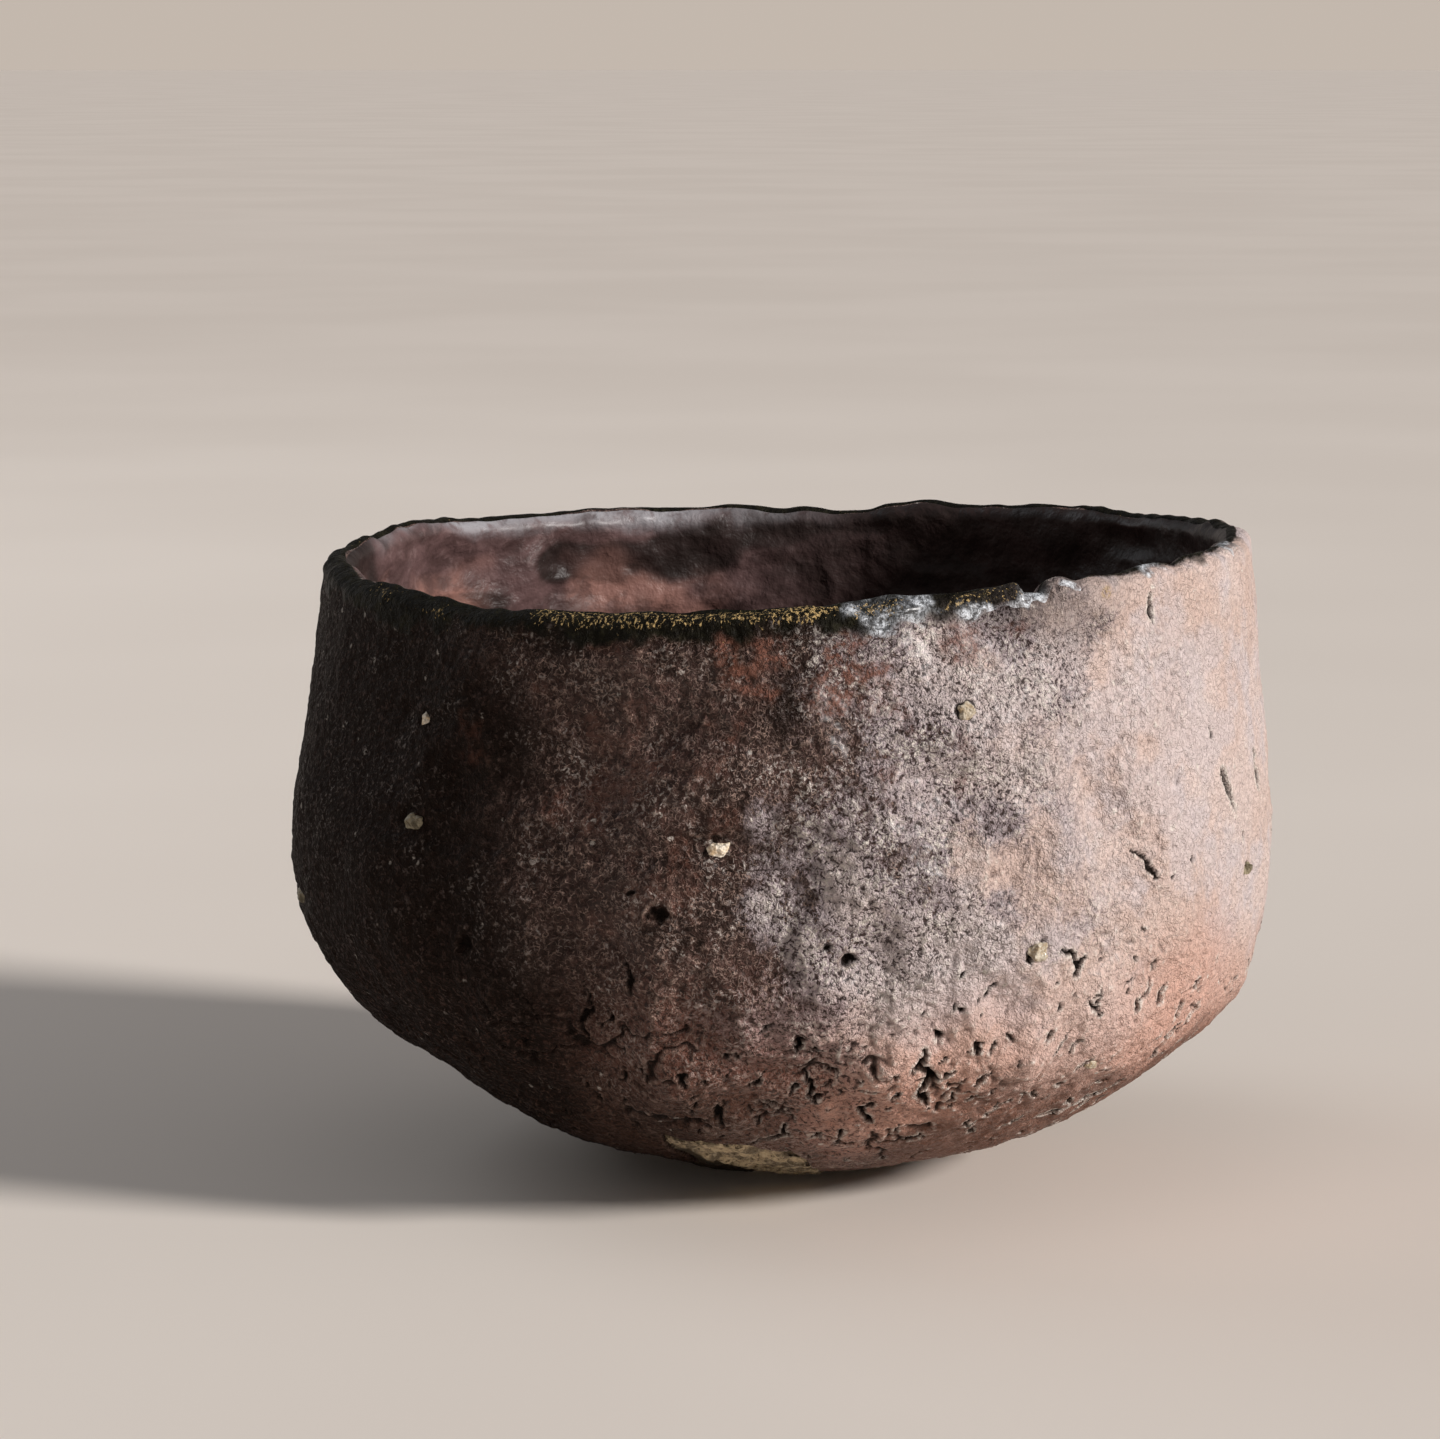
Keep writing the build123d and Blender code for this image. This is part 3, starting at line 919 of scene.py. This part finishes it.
class Nodes:
    """A short way to add nodes to a tree."""

    def __init__(self, tree):
        self.tree = tree

    def node(self, kind, inputs=None, **settings):
        made = self.tree.nodes.new(kind)
        for setting, value in settings.items():
            setattr(made, setting, value)
        for socket, value in (inputs or {}).items():
            self.put(made.inputs[socket], value)
        return made

    def put(self, socket, value):
        if isinstance(value, bpy.types.NodeSocket):
            self.tree.links.new(value, socket)
        elif isinstance(value, tuple) and len(value) == 3 and socket.type == "RGBA":
            socket.default_value = (*value, 1)
        else:
            socket.default_value = value

    def ramp(self, value, low, high, bottom=0.0, top=1.0):
        ends = {"Value": value, "From Min": low, "From Max": high, "To Min": bottom, "To Max": top}
        return self.node("ShaderNodeMapRange", ends, interpolation_type="SMOOTHSTEP").outputs["Result"]

    def mix(self, share, one, other):
        return self.node("ShaderNodeMix", {"Factor": share, 6: one, 7: other}, data_type="RGBA").outputs[2]

    def math(self, operation, one, other=0.0):
        return self.node("ShaderNodeMath", {0: one, 1: other}, operation=operation).outputs[0]

    def plus(self, one, other):
        return self.math("ADD", one, other)

    def minus(self, one, other):
        return self.math("SUBTRACT", one, other)

    def times(self, one, other):
        return self.math("MULTIPLY", one, other)

    def most(self, one, other):
        return self.math("MAXIMUM", one, other)


class Paint(Nodes):
    """A material. Its textures are placed in millimetres."""

    def __init__(self, name):
        self.material = bpy.data.materials.new(name)
        self.material.use_nodes = True
        super().__init__(self.material.node_tree)
        self.shader = self.tree.nodes["Principled BSDF"]
        place = self.node("ShaderNodeTexCoord").outputs["Object"]
        self.place = self.scaled(place, {"Scale": 1 / MM}, "SCALE")

    def scaled(self, place, by, operation="MULTIPLY"):
        return self.node("ShaderNodeVectorMath", {0: place, **by}, operation=operation).outputs[0]

    def stretched(self, z):
        """The place, with Z counted z times."""
        return self.scaled(self.place, {1: (1, 1, z)})

    def noise(self, wavelength, detail=2.0, roughness=0.5, distortion=0.0, place=None):
        where = {"Vector": place or self.place, "Scale": 1 / wavelength}
        kind = {"Detail": detail, "Roughness": roughness, "Distortion": distortion}
        return self.node("ShaderNodeTexNoise", {**where, **kind}).outputs["Fac"]

    def cells(self, wavelength):
        """How far a place is from the nearest of many scattered points."""
        where = {"Vector": self.place, "Scale": 1 / wavelength}
        return self.node("ShaderNodeTexVoronoi", where, feature="F1").outputs["Distance"]

    def wrinkles(self, wavelength):
        """1 along the winding crests of fine wrinkles."""
        waves = self.noise(wavelength, 2, 0.5, 0.4)
        return self.ramp(self.math("ABSOLUTE", self.minus(waves, 0.5)), 0.045, 0.008)

    def mask(self, name):
        made = self.node("ShaderNodeAttribute", attribute_name=name)
        split = self.node("ShaderNodeSeparateColor", {0: made.outputs["Color"]})
        return split.outputs[0], split.outputs[1], split.outputs[2]

    def bump(self, height, depth):
        """depth is in millimetres for a height of 1."""
        made = self.node("ShaderNodeBump", {"Strength": 1.0, "Distance": depth * MM, "Height": height})
        return made.outputs["Normal"]

    def coat(self, weight):
        self.put(self.shader.inputs["Coat Weight"], weight)

    def finish(self, colour, roughness, normal=None, **constants):
        self.put(self.shader.inputs["Base Color"], colour)
        self.put(self.shader.inputs["Roughness"], roughness)
        if normal:
            self.put(self.shader.inputs["Normal"], normal)
        for name, value in constants.items():
            self.shader.inputs[name.replace("_", " ")].default_value = value
        return self.material


BROWN = (0.140, 0.075, 0.062)
DARK_BROWN = (0.034, 0.0180, 0.0145)
SOOT = (0.0145, 0.0090, 0.0068)
LAVENDER = (0.375, 0.312, 0.330)
CREAM = (0.680, 0.620, 0.560)
BEIGE = (0.610, 0.490, 0.450)
PINK = (0.560, 0.420, 0.365)
DOVE = (0.530, 0.475, 0.490)
TERRACOTTA = (0.200, 0.080, 0.054)
PALE_EARTH = (0.570, 0.320, 0.245)
DEEP_EARTH = (0.135, 0.060, 0.038)
RUST = (0.190, 0.080, 0.055)
OCHRE = (0.380, 0.270, 0.140)
# Painted shade for the bottoms of pits and cracks.
PIT_SHADE = (0.010, 0.0065, 0.005)
GLAZE_BLACK = (0.0078, 0.0068, 0.0045)
GOLD = (0.46, 0.325, 0.145)
# Silver and grey silver are painted reflection of the light on the lip's glaze.
SILVER_REFLECTION = (0.70, 0.74, 0.79)
# Tan painted highlight for the crests of fine wrinkles.
CREST_HIGHLIGHT = (0.37, 0.255, 0.210)
# Painted highlight for raised edges of the relief.
RIDGE_HIGHLIGHT_BROWN = (0.30, 0.21, 0.17)
GLAZE_OLIVE = (0.016, 0.0145, 0.008)
GREY_REFLECTION = (0.30, 0.32, 0.35)
DEEP_PLUM, PLUM = (0.056, 0.031, 0.029), (0.128, 0.075, 0.073)
PLUM_GRIT = (0.24, 0.16, 0.155)
SALMON = (0.38, 0.190, 0.150)
# Painted reflection of the light on the glaze inside.
SHEEN_REFLECTION = (0.33, 0.325, 0.345)
# Painted shade inside: in the smears and deep down, and in the hollows of the relief.
INNER_SMEAR_AND_SHADE, INNER_HOLLOW_SHADE = (0.010, 0.0075, 0.006), (0.022, 0.013, 0.012)
DUN, BUFF = (0.19, 0.150, 0.100), (0.52, 0.41, 0.26)
FOOT_SPECK, FOOT_CREAM = (0.07, 0.048, 0.030), (0.66, 0.56, 0.40)
# Painted shade on the foot: its shadowed lower part, and its hollows.
FOOT_SHADE, FOOT_HOLLOW_SHADE = (0.030, 0.021, 0.014), (0.03, 0.02, 0.013)
DULL_STONE = ((0.10, 0.08, 0.045), (0.27, 0.23, 0.15))
CLEAN_STONE = ((0.60, 0.44, 0.27), (0.80, 0.72, 0.60))
FLOOR = ((0.80, 0.73, 0.66), (0.84, 0.77, 0.70))
HORIZON, OVERHEAD = (0.55, 0.48, 0.42), (0.17, 0.165, 0.17)
SUNLIGHT, SKYLIGHT = (1.0, 0.96, 0.93), (0.90, 0.95, 1.0)


class FiredClay(Paint):
    """A paint that knows the fired wall's colour, for the clay and for lip glaze where it is thin."""

    def __init__(self, name):
        super().__init__(name)
        self.soot, self.pale, self.earth = self.mask("zones")
        self.pits, self.red, self.ash = self.mask("wear")
        self.raised, self.hollow, self.crust = self.mask("lie")
        self.deep = self.mask("ground")[0]
        self.cloud = self.noise(8, 4, 0.6)
        self.grit = self.noise(1.1, 3, 0.65)
        self.grain = self.noise(0.6, 2, 0.7, 0.6)
        self.crests = self.wrinkles(0.9)
        self.clusters = self.ramp(self.noise(5.5, 3, 0.6), 0.42, 0.64, 0.15, 1.0)
        self.share = self.ash_share()

    def ash_share(self):
        """How pale the ash and the painted sheen are: broad, then broken up by clouds and grains, most where
        they are thin.
        """
        drift = self.times(self.minus(self.cloud, 0.5), 0.4)
        grainy = self.times(self.minus(self.grain, 0.5), self.plus(self.clusters, 0.6))
        broken = self.times(self.plus(grainy, drift), self.minus(1.4, self.pale))
        share = self.plus(self.pale, self.times(broken, 1.1))
        return self.plus(share, self.times(self.ash, 0.36))

    def ashen(self):
        """Brown clay under lavender ash and painted sheen, which are beige, pink or dove grey where they lie
        thick.
        """
        body = self.mix(self.ramp(self.cloud, 0.25, 0.75, 0, 0.7), DARK_BROWN, BROWN)
        body = self.mix(self.ramp(self.grain, 0.50, 0.62, 0, 0.7), body, BROWN)
        body = self.mix(self.ramp(self.share, 0.16, 0.74), body, LAVENDER)
        beige = self.mix(self.ramp(self.noise(13, 3), 0.35, 0.65), BEIGE, PINK)
        dove = self.ramp(self.noise(10, 4, 0.6), 0.46, 0.62, 0, 0.65)
        dove = self.times(dove, self.ramp(self.earth, 0.2, 0.7, 1, 0))
        beige = self.mix(self.most(dove, self.times(self.ash, 0.6)), beige, DOVE)
        return self.mix(self.ramp(self.share, 0.55, 1.05), body, beige)

    def earthy(self, body):
        """Bare red earth low down, under a dust of grit."""
        ground = self.mix(self.ramp(self.share, 0.3, 1.0), TERRACOTTA, PALE_EARTH)
        ground = self.mix(self.deep, ground, DEEP_EARTH)
        # Painted highlight along the crests of fine wrinkles.
        ground = self.mix(self.times(self.crests, 0.2), ground, PALE_EARTH)
        dusted = self.times(self.most(self.earth, self.deep), self.ramp(self.grit, 0.3, 0.6, 0.82, 1.0))
        return self.mix(dusted, body, ground)

    def grained(self, body):
        """Cream grains in clusters, partly pale grit and partly painted highlight on grain tops and wrinkle
        crests, with painted shade in the low grain round them.
        """
        cream = self.times(self.clusters, self.math("MINIMUM", self.times(self.share, 1.5), 1.0))
        cream = self.times(cream, self.minus(1.0, self.times(self.earth, 0.7)))
        # Painted highlight on the tops of grains and along wrinkle crests.
        grains = self.most(self.ramp(self.grain, 0.54, 0.60), self.times(self.crests, 0.8))
        cream = self.times(cream, grains)
        cream = self.times(cream, self.ramp(self.pale, 0.5, 1.0, 0.95, 0.25))
        body = self.mix(cream, body, CREAM)
        # Painted shade in the low grain.
        between = self.times(self.ramp(self.grain, 0.47, 0.38), self.ramp(self.pale, 0.6, 1.05, 0.9, 0.13))
        return self.mix(between, body, DARK_BROWN)

    def sooted(self, body):
        """Soot, with tan painted highlight along wrinkle crests where it is thin, and rusty flashes."""
        body = self.mix(self.times(self.soot, self.ramp(self.grain, 0.5, 0.66, 1.0, 0.8)), body, SOOT)
        # Painted highlight along the crests of fine wrinkles, in tan.
        crest_highlights = self.times(self.crests, self.ramp(self.grit, 0.4, 0.58, 0.15, 0.95))
        crest_highlights = self.times(crest_highlights, self.ramp(self.soot, 0.3, 1.0, 0.9, 0.0))
        crest_highlights = self.times(crest_highlights, self.ramp(self.share, 0.2, 0.6, 1.0, 0.0))
        crest_highlights = self.times(crest_highlights, self.ramp(self.earth, 0.3, 0.9, 1.0, 0.4))
        body = self.mix(crest_highlights, body, CREST_HIGHLIGHT)
        return self.mix(self.times(self.red, self.ramp(self.grit, 0.38, 0.6, 0.1, 0.9)), body, RUST)

    def torn(self, body):
        """Painted glints as sparse cream specks, painted highlight on raised edges, painted shade in hollows,
        ochre crust, and pits painted black as shade.
        """
        # Painted glints: sparse cream specks.
        painted_glints = self.times(self.ramp(self.cells(3.6), 0.13, 0.07), self.ramp(self.grit, 0.48, 0.56))
        painted_glints = self.times(painted_glints, self.minus(0.9, self.times(self.soot, 0.5)))
        body = self.mix(painted_glints, body, CREAM)
        # Painted highlight along the raised edges of the relief.
        edge = self.times(self.raised, self.ramp(self.grain, 0.42, 0.58, 0.25, 0.85))
        edge = self.times(edge, self.minus(1.0, self.times(self.soot, 0.85)))
        body = self.mix(edge, body, self.mix(self.ramp(self.pale, 0.1, 0.7), RIDGE_HIGHLIGHT_BROWN, CREAM))
        # Painted shade in the hollows of the relief.
        body = self.mix(self.times(self.hollow, 0.6), body, DARK_BROWN)
        body = self.mix(self.times(self.crust, self.ramp(self.grain, 0.4, 0.55)), body, OCHRE)
        # Painted shade: pits and cracks painted near black.
        return self.mix(self.pits, body, PIT_SHADE)

    def colour(self):
        return self.torn(self.sooted(self.grained(self.earthy(self.ashen()))))


def clay_paint():
    paint = FiredClay("brown_clay_fired")
    rough = paint.ramp(paint.grain, 0.35, 0.65, 0.75, 0.5)
    coarse = paint.plus(paint.times(paint.grit, 0.9), paint.times(paint.grain, 0.7))
    coarse = paint.plus(coarse, paint.times(paint.crests, 0.16))
    depth = paint.ramp(paint.pale, 0.75, 1.05, 1.25, 0.6)
    depth = paint.minus(depth, paint.times(paint.soot, 0.4))
    normal = paint.bump(paint.times(coarse, depth), 1.0)
    satin = paint.times(paint.ramp(paint.grit, 0.35, 0.65, 0.35, 0.9), paint.minus(1.0, paint.soot))
    satin = paint.times(satin, paint.ramp(paint.pale, 0.5, 1.0, 1.0, 0.45))
    paint.coat(paint.times(satin, paint.minus(0.55, paint.times(paint.pits, 0.55))))
    return paint.finish(paint.colour(), rough, normal, Specular_IOR_Level=0.05, Coat_Roughness=0.38)


def lip_paint():
    paint = FiredClay("dark_glaze_gloss")
    silver, glaze, gold = paint.mask("lip")
    glassy = paint.mix(paint.ramp(paint.noise(1.4, 3), 0.45, 0.7), GLAZE_BLACK, GLAZE_OLIVE)
    cover = paint.times(glaze, paint.ramp(paint.pale, 0.55, 1.0, 1.0, 0.8))
    colour = paint.mix(cover, paint.colour(), glassy)
    fleck = paint.noise(0.38, 3, 0.65, 0.4, paint.stretched(0.55))
    shown = paint.minus(paint.plus(fleck, paint.times(gold, 0.21)), 0.16)
    colour = paint.mix(paint.ramp(shown, 0.54, 0.60), colour, GOLD)
    streaks = paint.noise(2.4, 4, 0.65, 0.8, paint.stretched(1.5))
    # Painted reflection of the light, in streaks below the rim.
    painted_reflection = paint.times(silver, paint.ramp(streaks, 0.36, 0.6, 0.2, 1.0))
    painted_reflection = paint.times(painted_reflection, paint.ramp(paint.grain, 0.38, 0.5, 0.35, 1.0))
    colour = paint.mix(painted_reflection, colour, paint.mix(paint.ramp(streaks, 0.4, 0.6), GREY_REFLECTION, SILVER_REFLECTION))
    rough = paint.ramp(paint.noise(1.6, 3, 0.6), 0.35, 0.7, 0.42, 0.7)
    height = paint.plus(paint.noise(1.1, 3), paint.times(paint.grain, 0.8))
    paint.coat(paint.times(silver, 0.5))
    return paint.finish(colour, rough, paint.bump(height, 0.7), Specular_IOR_Level=0.05, Coat_Roughness=0.25)


def inner_paint():
    paint = Paint("plum_glaze_satin")
    salmon, sheen, dark = paint.mask("inside")
    hollow = paint.mask("lie")[1]
    cloud = paint.noise(9, 4, 0.65, 0.3, paint.stretched(1.6))
    grit = paint.noise(1.9, 3, 0.6, 0.3)
    colour = paint.mix(paint.ramp(cloud, 0.36, 0.64), DEEP_PLUM, PLUM)
    colour = paint.mix(paint.ramp(grit, 0.55, 0.7, 0, 0.3), colour, PLUM_GRIT)
    colour = paint.mix(paint.times(salmon, paint.ramp(cloud, 0.36, 0.52, 0.35, 0.95)), colour, SALMON)
    # Painted reflection under the lip at the back.
    colour = paint.mix(paint.times(sheen, paint.ramp(grit, 0.3, 0.55, 0.35, 0.95)), colour, SHEEN_REFLECTION)
    # Dark smears with painted shade deep down, and painted shadow on the right side.
    colour = paint.mix(paint.times(dark, 0.8), colour, INNER_SMEAR_AND_SHADE)
    # Painted shade in the hollows of the relief.
    colour = paint.mix(paint.times(hollow, 0.7), colour, INNER_HOLLOW_SHADE)
    rough = paint.ramp(cloud, 0.3, 0.7, 0.55, 0.38)
    height = paint.plus(paint.noise(2.6, 3, 0.5), paint.times(grit, 0.5))
    paint.coat(paint.ramp(dark, 0.3, 0.9, 0.1, 0.0))
    return paint.finish(colour, rough, paint.bump(height, 0.5), Specular_IOR_Level=0.2, Coat_Roughness=0.28)


def foot_paint():
    paint = Paint("buff_clay_raw")
    hollow = paint.mask("lie")[1]
    cloud = paint.noise(3.5, 4, 0.65)
    grit = paint.noise(0.6, 3, 0.7)
    light_part = paint.mask("light_part")[0]
    colour = paint.mix(paint.ramp(cloud, 0.42, 0.57), DUN, BUFF)
    colour = paint.mix(paint.ramp(grit, 0.52, 0.64, 0, 0.8), colour, FOOT_SPECK)
    colour = paint.mix(paint.ramp(grit, 0.45, 0.35, 0, 0.5), colour, FOOT_CREAM)
    # Painted shadow on the foot below its lit part.
    colour = paint.mix(paint.ramp(light_part, 0.0, 1.0, 0.93, 0.0), colour, FOOT_SHADE)
    # Painted shade in the hollows of the relief.
    colour = paint.mix(paint.times(hollow, 0.7), colour, FOOT_HOLLOW_SHADE)
    rough = paint.ramp(grit, 0.3, 0.7, 0.95, 0.75)
    return paint.finish(colour, rough, paint.bump(grit, 0.6), Specular_IOR_Level=0.2)


def stone_paint():
    paint = Paint("feldspar_chip")
    vein = paint.noise(0.9, 4, 0.6)
    dull = paint.mix(paint.ramp(vein, 0.4, 0.6), *DULL_STONE)
    light_part = paint.mix(paint.ramp(vein, 0.35, 0.6), *CLEAN_STONE)
    colour = paint.mix(paint.mask("tint")[0], dull, light_part)
    rough = paint.ramp(vein, 0.3, 0.7, 0.6, 0.3)
    normal = paint.bump(paint.noise(0.4, 2), 0.25)
    return paint.finish(colour, rough, normal, Specular_IOR_Level=0.3, Coat_Weight=0.2)


# The room.


def light(name, azimuth, elevation, power, colour, size=None):
    """A sun, or a square soft box where it has a size, aimed at the bowl's middle."""
    lamp_distance = 1.3
    data = bpy.data.lights.new(name, "AREA" if size else "SUN")
    data.energy = power
    data.color = colour
    if size:
        data.size = size
    else:
        data.angle = radians(11)
    lamp = placed(name, data)
    way = toward(azimuth, elevation)
    lamp.location = Vector((0, 0, 0.04)) + way * lamp_distance
    lamp.rotation_euler = way.to_track_quat("Z", "Y").to_euler()


def lay_floor():
    paint = Paint("pale_floor")
    tone = paint.ramp(paint.noise(260, 2), 0.3, 0.7)
    material = paint.finish(paint.mix(tone, *FLOOR), 0.75)
    bpy.ops.mesh.primitive_circle_add(vertices=96, radius=40, fill_type="NGON")
    floor = bpy.context.object
    floor.name = "floor"
    floor.data.materials.append(material)


def light_room():
    """A room whose walls are pale near the horizon and dim above, and a low soft sun from the right."""
    world = bpy.data.worlds.new("pale_room")
    world.use_nodes = True
    room = Nodes(world.node_tree)
    direction = room.node("ShaderNodeTexCoord").outputs["Generated"]
    split = room.node("ShaderNodeSeparateXYZ", {0: direction})
    tone = room.mix(room.ramp(split.outputs["Z"], 0.0, 0.35), HORIZON, OVERHEAD)
    room.put(world.node_tree.nodes["Background"].inputs["Color"], tone)
    bpy.context.scene.world = world
    light("key", 336, 23, 4.0, SUNLIGHT)
    light("rim", 150, 35, 3, SKYLIGHT, size=0.8)


def place_camera():
    """The viewing angle of a person sitting at the table."""
    data = bpy.data.cameras.new("camera")
    data.lens = 118
    data.sensor_width = 36
    data.shift_x = -0.043
    camera = placed("camera", data)
    camera.location = (0, -0.595, 0.1395)
    camera.rotation_euler = (radians(81.97), 0, 0)
    bpy.context.scene.camera = camera


def build():
    pieces = (
        (clay_piece(), "clay_body", "brown_clay", clay_paint()),
        (lip_film(), "lip_glaze", "dark_glaze", lip_paint()),
        (inner_film(), "inner_glaze", "plum_glaze", inner_paint()),
        (stones_piece(), "feldspar_stones", "feldspar", stone_paint()),
        (foot_film(), "foot_pad", "buff_clay", foot_paint()),
    )
    for piece, node, slot, material in pieces:
        piece.data.materials.append(material)
        stand_for(piece, node)


build()
lay_floor()
light_room()
place_camera()
bpy.context.scene.view_settings.view_transform = "Standard"
